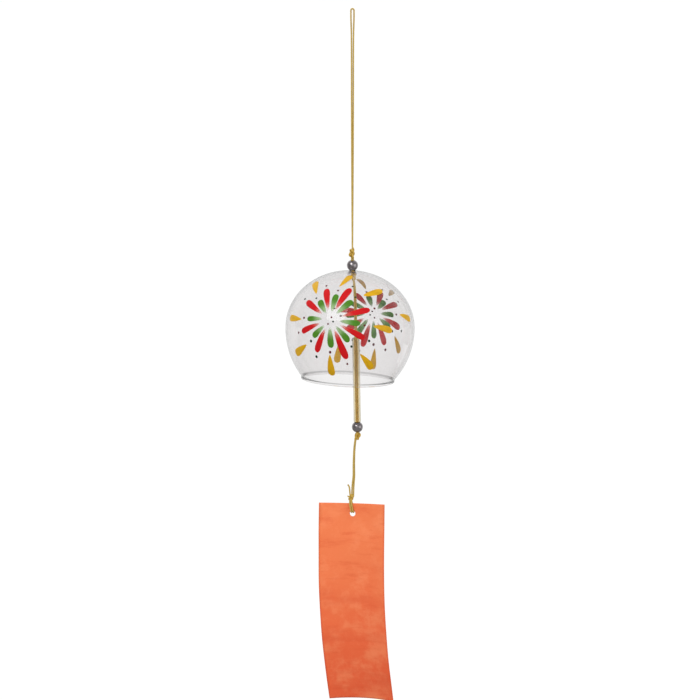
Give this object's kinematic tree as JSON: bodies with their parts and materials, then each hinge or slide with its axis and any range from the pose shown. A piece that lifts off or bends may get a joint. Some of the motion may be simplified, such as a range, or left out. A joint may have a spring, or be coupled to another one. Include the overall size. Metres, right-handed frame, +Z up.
{
  "type": "glass wind bell",
  "caption": "Hanging glass wind bell on a doubled cord, with a glass tube clapper, metal beads and a paper strip that catches the wind.",
  "frame": {"origin": "inside top of the hanging loop, where it bears on the hook", "axes": "+Z up along the hanging line, +X to the right seen from the front, -Y towards the viewer"},
  "size_m": [0.08, 0.08, 0.4351],
  "materials": {
    "cord": "satin twisted thread, old gold",
    "bead_metal": "polished dark silver metal",
    "bell_glass": "clear blown glass, painted with bursts of petals",
    "tube_glass": "clear drawn glass tube",
    "strip_paper": "matte mottled orange-red handmade paper"
  },
  "bodies": {
    "hook_loop": {"cord_bight": "cord"},
    "hanger": {"hanging_cord": "cord", "top_knot": "cord"},
    "neck": {"neck_cord": "cord", "inner_knot": "cord"},
    "bead_above": {"top_bead": "bead_metal"},
    "bell": {"glass_bell": "bell_glass"},
    "clapper": {"clapper_cord": "cord", "lower_knot": "cord"},
    "striker": {"clapper_tube": "tube_glass"},
    "bead_below": {"lower_bead": "bead_metal"},
    "strip_line": {"strip_cord": "cord"},
    "strip_tie": {"strip_knot": "cord", "strip_loop": "cord", "cord_tails": "cord"},
    "strip": {"paper_strip": "strip_paper"}
  },
  "joints": [
    {"name": "loop_sway", "type": "hinge", "parent": "hook_loop", "child": "hanger", "pos_m": [0, 0, -0.00545], "axis": [1, 0, 0], "range_deg": [-25, 25]},
    {"name": "bell_turn", "type": "hinge", "parent": "hanger", "child": "neck", "pos_m": [0, 0, -0.15172], "axis": [0, 0, 1], "continuous": true},
    {"name": "top_bead_spin", "type": "hinge", "parent": "neck", "child": "bead_above", "pos_m": [0, 0, -0.15657], "axis": [0, 0, 1], "continuous": true},
    {"name": "bell_rock", "type": "hinge", "parent": "neck", "child": "bell", "pos_m": [0, 0, -0.16365], "axis": [0, 1, 0], "range_deg": [-7.1, 1.9]},
    {"name": "clapper_swing", "type": "hinge", "parent": "neck", "child": "clapper", "pos_m": [0.0007, 0, -0.16647], "axis": [0, 1, 0], "range_deg": [-16.7, 26.6]},
    {"name": "tube_slide", "type": "slide", "parent": "clapper", "child": "striker", "axis": [-0.0171, 0, 0.9999], "range_m": [0, 0.029]},
    {"name": "lower_bead_spin", "type": "hinge", "parent": "clapper", "child": "bead_below", "pos_m": [0.00308, 0, -0.2575], "axis": [-0.0171, 0, 0.9999], "continuous": true},
    {"name": "strip_turn", "type": "hinge", "parent": "clapper", "child": "strip_line", "pos_m": [0.00198, 0, -0.26604], "axis": [0, 0, 1], "continuous": true},
    {"name": "strip_swing", "type": "hinge", "parent": "strip_line", "child": "strip_tie", "pos_m": [0.0001, 0, -0.29964], "axis": [1, 0, 0], "range_deg": [-35, 35]},
    {"name": "strip_rock", "type": "hinge", "parent": "strip_tie", "child": "strip", "pos_m": [0.00002, -0.0011, -0.31201], "axis": [0.2406, 0.965, -0.1045], "range_deg": [-18, 18]}
  ]
}
